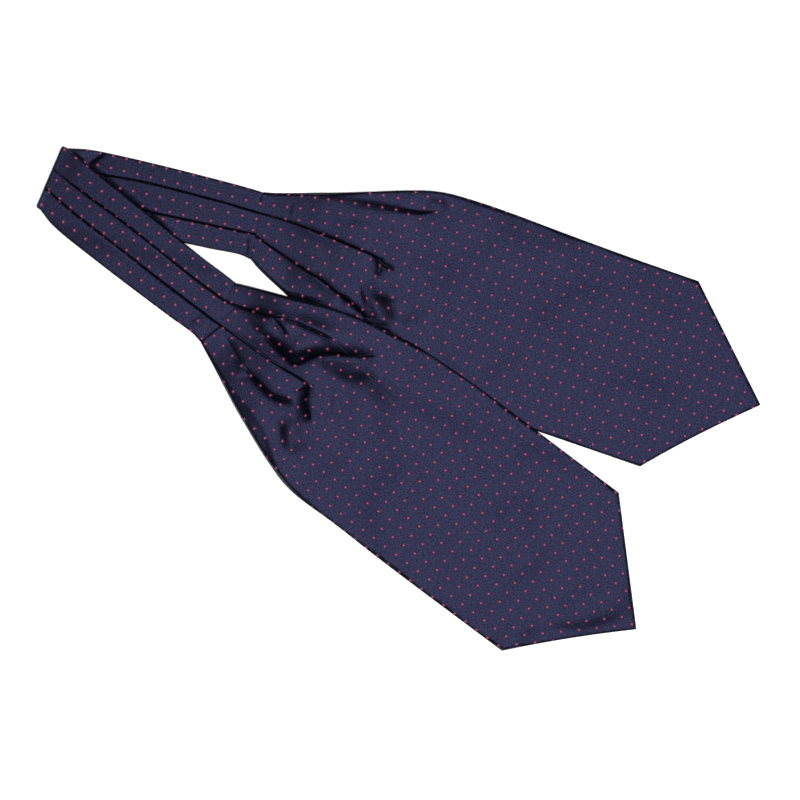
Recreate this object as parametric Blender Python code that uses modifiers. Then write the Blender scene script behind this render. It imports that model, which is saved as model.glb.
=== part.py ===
"""A day cravat of dotted silk, laid flat on a table and folded in half at the back of the neck.

Each half is a pleated neckband that opens, past a tack line, into a wide blade with a pointed end.
A blade is two panels of the same silk, sewn round their edges. The near half lies on the far one.
Tables are in millimetres and the model is in metres, with +Z up and the table at Z = 0.
The upper side of a half is the one towards +Y, where both halves meet at the top of the fold.
"""

import math
from collections import namedtuple

import bmesh
import bpy
from mathutils import Vector
from mathutils.geometry import tessellate_polygon

MM = 0.001

# Driving sizes, in millimetres
WALL = 1.0  # one layer of silk, with its turned seam
SEAM_GAP = 0.3  # between pieces that are sewn together or lie on each other
BLADE_THICK = 2 * WALL + SEAM_GAP
BAND_THICK = 3.4  # the neckband's three layers, pressed
DRAPE = 27.0  # how far the near half takes to come down from the far half to the table
RIM_DROP = 0.35  # how far a panel's top falls at its sewn edge
RIM_WIDTH = 1.6
UNDER_INSET = 1.1  # the under panel stays this far inside the upper panel's edge
BRIDGE = 2.2  # how far the near blade's upper edge stands off the far blade
FOLD_LIFT = BAND_THICK + SEAM_GAP / 2  # height of the axis that the neckband is folded round

SILK = (0.030, 0.034, 0.085, 1.0)

# Where the halves lie: the middle of each tack line, and the heading of each stretch of cloth
Stretch = namedtuple("Stretch", "x y heading")
NEAR_BLADE = Stretch(-140.4, 66.8, -36.7)
NEAR_BAND = Stretch(-140.4, 66.8, -39.2)
FAR_BLADE = Stretch(-111.2, 131.8, -19.0)
FAR_BAND = Stretch(-111.2, 131.8, -13.8)

# Sections of a blade from its tack line to its corners: the two edges and the two pleat folds
Section = namedtuple("Section", "along lower low_pleat high_pleat upper")
NEAR_SECTIONS = [
    Section(0, -26.4, -6.7, 10.8, 26.4),
    Section(8, -30.1, -6.2, 12.9, 29.8),
    Section(20, -35.6, -5.3, 16.2, 34.7),
    Section(38, -44.2, -4.3, 23.4, 42.0),
    Section(55, -51.9, -4.6, 30.2, 49.4),
    Section(75, -60.1, -3.1, 35.6, 56.6),
    Section(90, -66.0, -2.5, 37.3, 61.0),
    Section(105, -71.3, -7.5, 36.0, 64.6),
    Section(120, -75.7, -14.0, 33.0, 67.8),
    Section(137, -77.7, -20.0, 29.5, 70.9),
    Section(170, -77.4, -25.0, 26.5, 73.4),
    Section(230, -78.6, -26.0, 25.5, 74.5),
    Section(334, -78.8, -25.6, 25.0, 73.9),
]
FAR_SECTIONS = [
    Section(0, -23.7, -4.1, 12.8, 29.0),
    Section(8, -28.4, -6.2, 13.2, 31.1),
    Section(20, -33.9, -9.5, 13.6, 35.2),
    Section(38, -41.2, -15.0, 12.8, 41.9),
    Section(55, -47.6, -19.6, 11.9, 48.0),
    Section(75, -55.0, -25.8, 11.0, 55.7),
    Section(90, -60.2, -29.6, 9.8, 61.8),
    Section(105, -65.4, -33.0, 7.5, 67.5),
    Section(120, -70.0, -34.0, 9.0, 72.3),
    Section(137, -73.6, -32.0, 14.0, 75.3),
    Section(170, -76.6, -28.0, 22.0, 76.6),
    Section(230, -77.0, -26.0, 25.0, 75.9),
    Section(340, -77.1, -25.6, 24.5, 73.8),
]

# The pointed end: where the side corners and the tip are, and how hollow the lower edge is
End = namedtuple("End", "lower_along tip_along tip_across upper_along hollow")
NEAR_END = End(334.3, 408.0, -3.0, 333.6, 1.9)
FAR_END = End(342.9, 415.9, -1.4, 339.0, 2.1)

# The tack line leans: how far its ends lie along the blade from the middle
Lean = namedtuple("Lean", "lower upper")
NEAR_LEAN = Lean(2.9, -3.2)
FAR_LEAN = Lean(4.6, -3.7)

# Sections of a neckband from its fold to its tack line: each edge's place, then the two pleat folds
BandSection = namedtuple("BandSection", "place lower_along lower upper_along upper low_pleat high_pleat")
NEAR_BAND_SECTIONS = [
    BandSection(0.0, -161.6, -26.2, -176.0, 23.8, -10.0, 6.0),
    BandSection(0.1, -145.0, -28.9, -157.0, 24.4, -10.4, 6.3),
    BandSection(0.4, -96.0, -28.7, -103.0, 25.0, -9.8, 8.4),
    BandSection(0.8, -29.0, -26.3, -36.0, 25.6, -8.0, 9.2),
    BandSection(0.94, -6.0, -25.0, -14.0, 26.5, -7.0, 10.4),
    BandSection(1.0, 4.0, -26.3, -4.4, 26.7, -6.7, 10.9),
]
FAR_BAND_SECTIONS = [
    BandSection(0.0, -170.1, -24.4, -161.6, 26.9, -8.6, 8.4),
    BandSection(0.1, -151.0, -24.0, -144.5, 29.3, -8.3, 10.6),
    BandSection(0.4, -100.0, -24.4, -97.0, 30.7, -7.2, 14.8),
    BandSection(0.8, -32.0, -22.3, -33.0, 30.4, -5.3, 14.3),
    BandSection(0.94, -8.0, -22.2, -10.6, 29.8, -4.5, 13.2),
    BandSection(1.0, 2.2, -23.9, -1.0, 29.2, -4.1, 12.8),
]
BAND_PLACES = (1.0, 0.97, 0.93, 0.87, 0.8, 0.7, 0.6, 0.5, 0.4, 0.3, 0.2, 0.13, 0.08, 0.04, 0.0)

# How high the cloth stands over the pleats as they open, and how far each pleat's fold steps up
Crown = namedtuple("Crown", "along height low_step high_step")
NEAR_CROWN = [
    Crown(0, 0.2, 0.6, 0.6),
    Crown(16, 2.0, 1.0, 1.6),
    Crown(40, 4.4, 1.2, 1.9),
    Crown(62, 5.0, 1.5, 1.5),
    Crown(82, 4.6, 2.2, 0.8),
    Crown(96, 4.0, 1.4, 0.2),
    Crown(108, 3.2, 0.0, 0.0),
    Crown(140, 1.0, 0.0, 0.0),
    Crown(185, 0.0, 0.0, 0.0),
    Crown(400, 0.0, 0.0, 0.0),
]
FAR_CROWN = [
    Crown(0, 0.2, 0.6, 0.6),
    Crown(16, 1.6, 0.9, 1.0),
    Crown(40, 3.4, 1.2, 1.4),
    Crown(62, 4.2, 1.4, 1.6),
    Crown(82, 4.2, 1.3, 1.8),
    Crown(96, 3.8, 0.8, 1.4),
    Crown(108, 3.2, 0.0, 0.0),
    Crown(145, 1.0, 0.0, 0.0),
    Crown(185, 0.0, 0.0, 0.0),
    Crown(400, 0.0, 0.0, 0.0),
]

# Soft folds where the pleats let go: height is negative in a trough, and path is (along, across)
Crease = namedtuple("Crease", "height reach path")
NEAR_CREASES = [
    Crease(-4.2, 6.5, [(20, 13), (36, 7.5), (58, 4.2), (72, 7), (80, 21), (92, 31.5), (119, 47)]),
    Crease(-2.6, 5.5, [(20, -14), (35, -21), (52, -24), (68, -24.5), (88, -20)]),
    Crease(-3.6, 5.5, [(86, -7), (97, -12), (101, -19), (109, -25)]),
    Crease(-1.6, 8.0, [(96, 17), (112, 19.5), (127, 40)]),
    Crease(-1.6, 7.0, [(86, -31), (99, -44), (108, -53)]),
    Crease(1.3, 6.0, [(70, -1), (84, 10), (96, 22), (116, 34)]),
]
FAR_CREASES = [
    Crease(-3.2, 5.5, [(52, 42), (76, 45), (102, 49.5), (118, 52.5), (132, 60)]),
    Crease(-3.0, 6.0, [(80, 10), (94, 7.5), (104, 4), (112, 5)]),
    Crease(-2.2, 5.5, [(50, -20), (76, -27), (102, -36)]),
    Crease(-2.2, 5.0, [(90, -11), (98, -22), (107, -32), (116, -40)]),
    Crease(1.4, 5.5, [(95, -6), (106, -17), (116, -30), (124, -40)]),
    Crease(-2.0, 7.0, [(108, -15), (119, -18), (126, -28), (132, -37)]),
]


def smooth(share):
    """An S-shaped ramp from 0 to 1."""
    share = min(1.0, max(0.0, share))
    return share * share * (3 - 2 * share)


def along_table(rows, where, column):
    """A column of a table read at a place along it, as a smooth curve through its rows."""
    places = [getattr(row, rows[0]._fields[0]) for row in rows]
    values = [getattr(row, column) for row in rows]
    where = min(places[-1], max(places[0], where))
    i = max(k for k in range(len(rows) - 1) if places[k] <= where)
    span = places[i + 1] - places[i]
    share = (where - places[i]) / span
    slopes = []
    for k in (i, i + 1):
        before, after = max(0, k - 1), min(len(rows) - 1, k + 1)
        slopes.append(span * (values[after] - values[before]) / (places[after] - places[before]))
    square, cube = share**2, share**3
    return (
        (2 * cube - 3 * square + 1) * values[i]
        + (cube - 2 * square + share) * slopes[0]
        + (3 * square - 2 * cube) * values[i + 1]
        + (cube - square) * slopes[1]
    )


def on_table(stretch, along, across):
    """A place on a stretch of cloth, as X and Y on the table."""
    turn = math.radians(stretch.heading)
    x = stretch.x + along * math.cos(turn) - across * math.sin(turn)
    y = stretch.y + along * math.sin(turn) + across * math.cos(turn)
    return x, y


def on_cloth(stretch, x, y):
    """A place on the table, as along and across a stretch of cloth."""
    turn = math.radians(stretch.heading)
    dx, dy = x - stretch.x, y - stretch.y
    return dx * math.cos(turn) + dy * math.sin(turn), dy * math.cos(turn) - dx * math.sin(turn)


def distance_to_line(point, line):
    """Distance from a point to an open line of points, and how far along the line it is, 0 to 1."""
    best, place = 1e9, 0.0
    for i in range(len(line) - 1):
        ax, ay = line[i]
        bx, by = line[i + 1]
        length = (bx - ax) ** 2 + (by - ay) ** 2
        share = ((point[0] - ax) * (bx - ax) + (point[1] - ay) * (by - ay)) / length
        share = min(1.0, max(0.0, share))
        gap = math.hypot(point[0] - ax - share * (bx - ax), point[1] - ay - share * (by - ay))
        if gap < best:
            best, place = gap, (i + share) / (len(line) - 1)
    return best, place


def inside(point, outline):
    """True where a point is inside a closed outline."""
    within = False
    for i, (ax, ay) in enumerate(outline):
        bx, by = outline[i - 1]
        if (ay > point[1]) != (by > point[1]):
            if point[0] < ax + (point[1] - ay) * (bx - ax) / (by - ay):
                within = not within
    return within


def depth_in(point, outline):
    """How deep a point lies inside a closed outline, negative outside it."""
    gap, _ = distance_to_line(point, outline + outline[:1])
    return gap if inside(point, outline) else -gap


Half = namedtuple("Half", "blade sections end lean band band_sections crown creases face_up")
NEAR = Half(
    NEAR_BLADE,
    NEAR_SECTIONS,
    NEAR_END,
    NEAR_LEAN,
    NEAR_BAND,
    NEAR_BAND_SECTIONS,
    NEAR_CROWN,
    NEAR_CREASES,
    True,
)
FAR = Half(
    FAR_BLADE,
    FAR_SECTIONS,
    FAR_END,
    FAR_LEAN,
    FAR_BAND,
    FAR_BAND_SECTIONS,
    FAR_CROWN,
    FAR_CREASES,
    False,
)

# Columns of a blade: the strip that each is in, and its share of the way across that strip
STRIPS = (("lower", "low_pleat"), ("low_pleat", "high_pleat"), ("high_pleat", "upper"))
STRIP_SHARES = (0.0, 0.14, 0.32, 0.5, 0.68, 0.86, 1.0)
FOLD_SHARE = 0.012  # half the width of a pleat's step, as a share of its strip

# Rows of a blade: places along it, close together where the pleats open
FOLD_ROWS = [0, 4] + [8 + 5.8 * i for i in range(20)]
FLAT_ROWS = [126, 137, 150, 168, 195, 230, 268, 304]
RIM_ROW = 999  # just inside the pointed end's edge
END_ROW = 1000  # on the pointed end's edge


def blade_across(half, along, strip, share):
    """How far across a blade a column is, at a row's place along it."""
    low, high = STRIPS[strip]
    a = along_table(half.sections, along, low)
    b = along_table(half.sections, along, high)
    return a + share * (b - a)


def end_along(half, across):
    """How far along the pointed end's edge is, at a place across it."""
    end = half.end
    corner = half.sections[-1]
    if across < end.tip_across:
        share = (across - corner.lower) / (end.tip_across - corner.lower)
        hollow = 4 * end.hollow * share * (1 - share)
        return end.lower_along + share * (end.tip_along - end.lower_along) - hollow
    share = (corner.upper - across) / (corner.upper - end.tip_across)
    return end.upper_along + share * (end.tip_along - end.upper_along)


def tip_column(half, strip, share):
    """A column's place across the pointed end, with the middle column on the tip itself."""
    corner = half.sections[-1]
    across = blade_across(half, corner.along, strip, share)
    middle = blade_across(half, corner.along, 1, 0.5)
    side = corner.lower if across < middle else corner.upper
    return half.end.tip_across + (across - middle) * (side - half.end.tip_across) / (side - middle)


def blade_point(half, row, strip, share, inset=0.0, end_inset=0.0):
    """Along and across for a row and a column. A row is a place along, or one of the end's rows."""
    corner = half.sections[-1].along
    straight = min(row, corner)
    across = blade_across(half, straight, strip, share)
    low = along_table(half.sections, straight, "lower")
    high = along_table(half.sections, straight, "upper")
    width_share = (across - low) / (high - low)
    lean = half.lean.lower + width_share * (half.lean.upper - half.lean.lower)
    along = straight + lean * (1 - smooth(straight / 120.0))
    turn = smooth((row - 150.0) / (corner - 150.0))
    end_across = tip_column(half, strip, share)
    pointed = straight + (end_along(half, end_across) - corner) * turn
    along += pointed - straight
    across += (end_across - across) * turn
    middle = (low + high) / 2
    half_width = (high - low) / 2
    shrink = 1 - inset / half_width
    if row >= RIM_ROW:
        along -= end_inset * math.sqrt(2)
    return along, middle + (across - middle) * shrink


def blade_outline(half):
    """The blade's closed outline on the table, from the tack line round the point and back."""
    rows = FOLD_ROWS + FLAT_ROWS + [END_ROW]
    places = [blade_point(half, row, 0, 0.0) for row in rows]
    places += [(half.end.tip_along, half.end.tip_across)]
    places += [blade_point(half, row, 2, 1.0) for row in reversed(rows)]
    return [on_table(half.blade, along, across) for along, across in places]


def band_ring_line(half, place):
    """The neckband at a place from fold, 0, to tack, 1: its lower and upper points and its pleats."""
    rows = half.band_sections
    found = BandSection(place, *(along_table(rows, place, name) for name in BandSection._fields[1:]))
    lower = Vector(on_table(half.band, found.lower_along, found.lower))
    upper = Vector(on_table(half.band, found.upper_along, found.upper))
    width = found.upper - found.lower
    return lower, upper, (found.low_pleat - found.lower) / width, (found.high_pleat - found.lower) / width


def band_outline(half, steps=10):
    """The neckband's closed outline on the table."""
    lines = [band_ring_line(half, i / steps) for i in range(steps + 1)]
    return [tuple(line[0]) for line in lines] + [tuple(line[1]) for line in reversed(lines)]


FAR_BLADE_OUTLINE = blade_outline(FAR)
FAR_BAND_OUTLINE = band_outline(FAR)
NEAR_BLADE_OUTLINE = blade_outline(NEAR)


def lift_over(depth):
    """1 on the far half and just past its edge, falling to 0 at the drape's length from it."""
    return smooth(1 + (depth + 1.5) / DRAPE)


def rest_height(x, y):
    """Height of the surface that the near half lies on: the far half, or the table."""
    on_band = lift_over(depth_in((x, y), FAR_BAND_OUTLINE)) * (BAND_THICK + SEAM_GAP)
    on_blade = lift_over(depth_in((x, y), FAR_BLADE_OUTLINE)) * (BLADE_THICK + SEAM_GAP)
    along, across = on_cloth(NEAR_BLADE, x, y)
    upper = along_table(NEAR_SECTIONS, along, "upper")
    edge = smooth(1 - (upper - across) / 26.0)
    stretch = smooth((along - 22.0) / 26.0) * smooth((165.0 - along) / 50.0)
    return max(on_band, on_blade + BRIDGE * edge * stretch * min(1.0, on_blade / BLADE_THICK))


def pressed(x, y):
    """How far the near blade presses the far blade's folds flat, 0 to 1."""
    return smooth((depth_in((x, y), NEAR_BLADE_OUTLINE) + 7.0) / 13.0)


def fold_height(half, along, across, strip, share):
    """How far the cloth of a blade stands above two flat layers, at a place on it."""
    low = along_table(half.sections, along, "lower")
    high = along_table(half.sections, along, "upper")
    from_middle = abs(2 * (across - low) / (high - low) - 1)
    height = along_table(half.crown, along, "height") * (1 - min(1.0, from_middle) ** 5)
    room = height
    for crease in half.creases:
        gap, place = distance_to_line((along, across), crease.path)
        ends = smooth(place / 0.22) * smooth((1 - place) / 0.22)
        height += crease.height * ends * math.exp(-((gap / crease.reach) ** 2))
    height = max(height, 0.12 * room)
    return height + pleat_step(half, along, strip, share)


def pleat_step(half, along, strip, share):
    """How far a strip stands up on the pleats under it, highest at its own folded edge."""
    low_step = along_table(half.crown, along, "low_step")
    high_step = along_table(half.crown, along, "high_step")
    if not half.face_up:
        share = 1 - share
        strip = 2 - strip
        low_step, high_step = high_step, low_step
    spread = smooth(1 - along / 30.0)
    lean = spread + (1 - spread) * (1 - share) ** 3
    if strip == 0:
        return 0.0
    if strip == 1:
        return low_step * lean
    return high_step * lean + low_step * 0.35 * spread


def blade_columns():
    """Every column of a blade as strip and share, with a narrow step at each pleat's fold."""
    columns = []
    for strip in range(len(STRIPS)):
        for share in STRIP_SHARES:
            at_fold = (strip > 0 and share == 0.0) or (strip < 2 and share == 1.0)
            if at_fold:
                share = share + FOLD_SHARE if share == 0.0 else share - FOLD_SHARE
            columns.append((strip, share))
    return columns


def with_rims(columns):
    """The columns as strip, share and inset, with one more inside each edge for the rounded rim."""
    inner = [(strip, share, 0.0) for strip, share in columns[1:-1]]
    return [(0, 0.0, 0.0), (0, 0.0, RIM_WIDTH), *inner, (2, 1.0, RIM_WIDTH), (2, 1.0, 0.0)]


def silk_material():
    """Dark blue woven silk."""
    material = bpy.data.materials.new("silk")
    material.use_nodes = True
    shader = material.node_tree.nodes["Principled BSDF"]
    shader.inputs["Base Color"].default_value = SILK
    shader.inputs["Roughness"].default_value = 0.45
    shader.inputs["Metallic"].default_value = 0.0
    return material


def new_object(name, mesh, collection, material):
    """An object for a finished mesh, shaded smooth."""
    mesh.materials.append(material)
    mesh.shade_smooth()
    made = bpy.data.objects.new(name, mesh)
    collection.objects.link(made)
    return made


def sheet_mesh(name, rows, columns, place):
    """A grid of rows and columns moved into place, as an open sheet."""
    sheet = bmesh.new()
    bmesh.ops.create_grid(sheet, x_segments=len(rows) - 1, y_segments=len(columns) - 1, size=1.0)
    sheet.verts.ensure_lookup_table()
    for vertex in sheet.verts:
        i = round((vertex.co.x + 1) / 2 * (len(rows) - 1))
        j = round((vertex.co.y + 1) / 2 * (len(columns) - 1))
        vertex.co = Vector(place(rows[i], columns[j])) * MM
    bmesh.ops.recalc_face_normals(sheet, faces=sheet.faces)
    if sum(face.normal.z for face in sheet.faces) < 0:
        bmesh.ops.reverse_faces(sheet, faces=sheet.faces)
    mesh = bpy.data.meshes.new(name)
    sheet.to_mesh(mesh)
    sheet.free()
    return mesh


def thicken(made, offset):
    """Gives an open sheet its wall, above it where offset is 1 and below it where it is -1."""
    wall = made.modifiers.new("wall", "SOLIDIFY")
    wall.thickness = WALL * MM
    wall.offset = offset


def rim_drop(row, column, last_column, rows):
    """How far a panel's top falls where it is sewn at the edge."""
    at_side = column in (0, last_column)
    at_end = row == rows[-1]
    return RIM_DROP if at_side or at_end else 0.0


def upper_panel(name, half, rests, collection, material):
    """The blade's upper layer, with the pleats that open past the tack line."""
    columns = with_rims(blade_columns())
    rows = FOLD_ROWS + FLAT_ROWS + [RIM_ROW, END_ROW]

    def place(row, column):
        strip, share, inset = column
        end_inset = RIM_WIDTH if row == RIM_ROW else 0.0
        along, across = blade_point(half, row, strip, share, inset, end_inset)
        if row == 0:
            along += SEAM_GAP / 2
        x, y = on_table(half.blade, along, across)
        height = fold_height(half, along, across, strip, share)
        if not half.face_up:
            height *= 1 - pressed(x, y)
        drop = rim_drop(row, columns.index(column), len(columns) - 1, rows)
        z = rests(x, y) + BLADE_THICK + height - drop
        return x, y, z

    panel = new_object(name, sheet_mesh(name, rows, columns, place), collection, material)
    thicken(panel, -1)
    return panel


def under_panel(name, half, rests, rows, shares, collection, material):
    """The blade's under layer, flat on what it lies on."""
    columns = [(strip, share) for strip in range(3) for share in shares if strip == 0 or share > 0]

    def place(row, column):
        strip, share = column
        along, across = blade_point(half, row, strip, share, UNDER_INSET, 1.6 * UNDER_INSET)
        if row == 0:
            along += SEAM_GAP / 2
        x, y = on_table(half.blade, along, across)
        return x, y, rests(x, y)

    panel = new_object(name, sheet_mesh(name, rows, columns, place), collection, material)
    thicken(panel, 1)
    return panel


# The neckband's section from its lower edge over the top and back underneath. It is given at the
# tack line, where the pleats step up, and at the seam at the back of the neck, pressed even.
BandPoint = namedtuple("BandPoint", "strip share height seam_share seam_height")
BAND_SECTION = [
    BandPoint(0, 0.00, 0.90, 0.00, 0.90),
    BandPoint(0, 0.04, 1.80, 0.02, 2.50),
    BandPoint(0, 0.16, 2.20, 0.12, 3.30),
    BandPoint(0, 0.60, 2.30, 0.60, 3.40),
    BandPoint(0, 1.02, 2.10, 0.96, 3.40),
    BandPoint(0, 0.97, 2.50, 0.98, 3.40),
    BandPoint(1, 0.00, 2.85, 0.00, 3.40),
    BandPoint(1, 0.12, 2.95, 0.12, 3.40),
    BandPoint(1, 0.60, 2.75, 0.60, 3.40),
    BandPoint(1, 1.02, 2.55, 0.96, 3.40),
    BandPoint(1, 0.97, 2.95, 0.98, 3.40),
    BandPoint(2, 0.00, 3.30, 0.00, 3.40),
    BandPoint(2, 0.12, 3.40, 0.12, 3.40),
    BandPoint(2, 0.50, 3.30, 0.50, 3.40),
    BandPoint(2, 0.86, 3.10, 0.88, 3.30),
    BandPoint(2, 0.98, 2.60, 0.98, 2.60),
    BandPoint(2, 0.95, 2.10, 0.96, 2.20),
    BandPoint(2, 1.00, 1.60, 1.00, 1.70),
    BandPoint(2, 0.96, 1.10, 0.97, 1.20),
    BandPoint(2, 0.99, 0.60, 0.99, 0.60),
    BandPoint(2, 0.90, 0.00, 0.90, 0.00),
    BandPoint(2, 0.30, 0.00, 0.30, 0.00),
    BandPoint(1, 0.70, 0.00, 0.70, 0.00),
    BandPoint(1, 0.20, 0.00, 0.20, 0.00),
    BandPoint(0, 0.60, 0.00, 0.60, 0.00),
    BandPoint(0, 0.08, 0.00, 0.08, 0.00),
]


def band_ring(half, share, even):
    """The neckband's section as places on the table with heights, layered at its folds and edges."""
    lower, upper, low_pleat, high_pleat = band_ring_line(half, share)
    if not half.face_up:
        lower, upper = upper, lower
        low_pleat, high_pleat = 1 - high_pleat, 1 - low_pleat
    strips = ((0.0, low_pleat), (low_pleat, high_pleat), (high_pleat, 1.0))
    ring = []
    for point in BAND_SECTION:
        start, stop = strips[point.strip]
        across = start + (point.share + even * (point.seam_share - point.share)) * (stop - start)
        height = point.height + even * (point.seam_height - point.height)
        ring.append((lower + across * (upper - lower), height))
    return ring if half.face_up else ring[::-1]


def flat_section(ring):
    """A neckband's section laid flat, as distances across it with heights."""
    return [Vector((math.dist(point[:2], ring[0][:2]), point[-1], 0.0)) for point in ring]


def neckband(name, half, rests, turn_steps, collection, material):
    """A pleated neckband from its tack line to the fold, then a quarter turn round the fold."""
    lower, upper, _, _ = band_ring_line(half, 0.0)
    along_fold = (upper - lower).normalized()
    outwards = Vector((-along_fold.y, along_fold.x))
    rings = []
    seam_section = flat_section([(*spot, height) for spot, height in band_ring(half, 0.0, 1.0)])
    for place in BAND_PLACES:
        ring = []
        for spot, height in band_ring(half, place, 0.0):
            spot = spot - outwards * BAND_THICK * smooth(1 - place * 5)
            if place == 1.0:
                spot = spot + outwards * SEAM_GAP / 2
            ring.append((spot.x, spot.y, rests(spot.x, spot.y) + height))
        rings.append(ring)
    seam = math.degrees(SEAM_GAP / BAND_THICK)
    for i in range(1, turn_steps + 1):
        turn = math.radians((90 - seam) * i / turn_steps)
        ring = []
        for spot, height in band_ring(half, 0.0, i / turn_steps):
            radius = SEAM_GAP / 2 + height if half.face_up else BAND_THICK + SEAM_GAP / 2 - height
            sign = 1 if half.face_up else -1
            corner = spot - outwards * BAND_THICK + outwards * radius * math.sin(turn)
            ring.append((corner.x, corner.y, FOLD_LIFT + sign * radius * math.cos(turn)))
        rings.append(ring)
    solid = loft(name, rings, flat_section(rings[0]), seam_section)
    return new_object(name, solid, collection, material)


def loft(name, rings, first_section, last_section):
    """A closed solid through rings of points, with a cap at each end that fills its flat section."""
    solid = bmesh.new()
    loops = [[solid.verts.new(Vector(point) * MM) for point in ring] for ring in rings]
    for first, second in zip(loops, loops[1:]):
        for k in range(len(first)):
            solid.faces.new((first[k - 1], first[k], second[k], second[k - 1]))
    for loop, section in ((loops[0], first_section), (loops[-1], last_section)):
        for corners in tessellate_polygon([section]):
            solid.faces.new([loop[k] for k in corners])
    bmesh.ops.triangulate(solid, faces=solid.faces)
    bmesh.ops.recalc_face_normals(solid, faces=solid.faces)
    if solid.calc_volume(signed=True) < 0:
        bmesh.ops.reverse_faces(solid, faces=solid.faces)
    mesh = bpy.data.meshes.new(name)
    solid.to_mesh(mesh)
    solid.free()
    return mesh


def table_top(x, y):
    """Height of the table."""
    return 0.0


def main():
    for leftover in list(bpy.data.objects):
        bpy.data.objects.remove(leftover)
    cravat = bpy.data.collections.new("cravat")
    bpy.context.scene.collection.children.link(cravat)
    silk = silk_material()
    drape_rows = FOLD_ROWS + FLAT_ROWS + [END_ROW]
    flat_rows = [0, 8, 20, 38, 55, 75, 90, 105, 120, 137, 170, 230, END_ROW]
    upper_panel("far_blade_upper", FAR, table_top, cravat, silk)
    under_panel("far_blade_under", FAR, table_top, flat_rows, (0.0, 0.5, 1.0), cravat, silk)
    neckband("far_neckband", FAR, table_top, 5, cravat, silk)
    upper_panel("near_blade_upper", NEAR, rest_height, cravat, silk)
    under_panel("near_blade_under", NEAR, rest_height, drape_rows, STRIP_SHARES, cravat, silk)
    neckband("near_neckband", NEAR, rest_height, 5, cravat, silk)


main()
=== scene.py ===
"""A day cravat of dotted silk, laid flat and folded in half at the back of the neck.

Each half is a pleated neckband and a wide blade of two silk sheets, sewn round their edges.
Sizes are in millimetres until a mesh is made. Along runs from the tack line to the blade's point,
across runs from its lower edge to its upper edge, and height is measured from the table.
"""

import math
from collections import namedtuple

import bpy
import numpy as np
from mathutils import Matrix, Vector
from mathutils.geometry import tessellate_polygon


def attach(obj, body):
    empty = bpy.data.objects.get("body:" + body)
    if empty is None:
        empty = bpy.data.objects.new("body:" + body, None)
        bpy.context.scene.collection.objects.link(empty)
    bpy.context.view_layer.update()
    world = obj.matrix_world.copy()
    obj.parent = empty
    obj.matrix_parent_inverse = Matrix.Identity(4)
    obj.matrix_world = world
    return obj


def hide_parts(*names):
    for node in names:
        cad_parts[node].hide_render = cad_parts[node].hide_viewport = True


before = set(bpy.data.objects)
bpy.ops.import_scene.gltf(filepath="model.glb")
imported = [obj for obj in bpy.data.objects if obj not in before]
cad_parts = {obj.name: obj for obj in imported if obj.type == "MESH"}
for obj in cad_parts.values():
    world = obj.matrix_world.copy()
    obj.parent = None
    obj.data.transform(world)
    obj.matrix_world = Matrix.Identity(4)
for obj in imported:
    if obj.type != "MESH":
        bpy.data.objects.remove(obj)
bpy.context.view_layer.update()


# The far half's lower sheet
# The sheet that lies on the table: one layer of twilled silk, cut to the blade's outline. Its edges
# turn up to the seam that joins it to the upper sheet.

MM = 0.001
SEAM_HEIGHT = 1.15  # of the seam between a blade's two sheets
SEAM_CLEAR = 0.1  # left free under the seam for the upper sheet's rim
LOWER_SHEET_HEIGHT = 0.45
LOWER_COLUMNS = 49
SHEET_WALL = 0.3
RIM = (0.0, 0.2, 0.55, 1.0, 1.6, 2.4)  # columns inside an edge, where the cloth rolls over
LEAN_FADES = 120.0  # how far along the rows still lean as the tack line does
NECK_ENDS = 18  # how far along the rows are closest together
PLEATS_END = 138  # how far along the pleats have opened
POINT_BEGINS = 150.0  # how far along the rows start to bend towards the pointed end

Place = namedtuple("Place", "x y heading")
FAR_BLADE = Place(-111.2, 131.8, -19.0)

# The blade's cut: its two edges as (along, across), how far the tack line leans, and its point
Cut = namedtuple("Cut", "lower upper lean_lower lean_upper corner_lower corner_upper tip hollow")
FAR_CUT = Cut(
    [(0, -23.7), (8, -28.4), (20, -33.9), (38, -41.2), (55, -47.6), (75, -55.0), (90, -60.2),
     (105, -65.4), (120, -70.0), (137, -73.6), (170, -76.6), (230, -77.0), (340, -77.1)],
    [(0, 29.0), (8, 31.1), (20, 35.2), (38, 41.9), (55, 48.0), (75, 55.7), (90, 61.8),
     (105, 67.5), (120, 72.3), (137, 75.3), (170, 76.6), (230, 75.9), (340, 73.8)],
    4.6, -3.7, 342.9, 339.0, (415.9, -1.4), 2.1,
)


def smooth(share):
    """An S-shaped ramp from 0 to 1."""
    share = np.clip(share, 0.0, 1.0)
    return share * share * (3 - 2 * share)


def follow(line, where):
    """A line's second number at places along it, as a smooth curve through its points."""
    x = np.array([point[0] for point in line], float)
    y = np.array([point[1] for point in line], float)
    slopes = np.gradient(y, x)
    slopes[1:-1] = (y[2:] - y[:-2]) / (x[2:] - x[:-2])
    where = np.clip(np.asarray(where, float), x[0], x[-1])
    i = np.clip(np.searchsorted(x, where, side="right") - 1, 0, len(x) - 2)
    span = x[i + 1] - x[i]
    share = (where - x[i]) / span
    square, cube = share**2, share**3
    return (
        (2 * cube - 3 * square + 1) * y[i]
        + (cube - 2 * square + share) * span * slopes[i]
        + (3 * square - 2 * cube) * y[i + 1]
        + (cube - square) * span * slopes[i + 1]
    )


def on_table(place, along, across):
    """A place on a stretch of cloth, as X and Y on the table."""
    turn = math.radians(place.heading)
    x = place.x + along * math.cos(turn) - across * math.sin(turn)
    y = place.y + along * math.sin(turn) + across * math.cos(turn)
    return x, y


def on_cloth(place, x, y):
    """A place on the table, as along and across a stretch of cloth."""
    turn = math.radians(place.heading)
    dx, dy = x - place.x, y - place.y
    return dx * math.cos(turn) + dy * math.sin(turn), dy * math.cos(turn) - dx * math.sin(turn)


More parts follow.
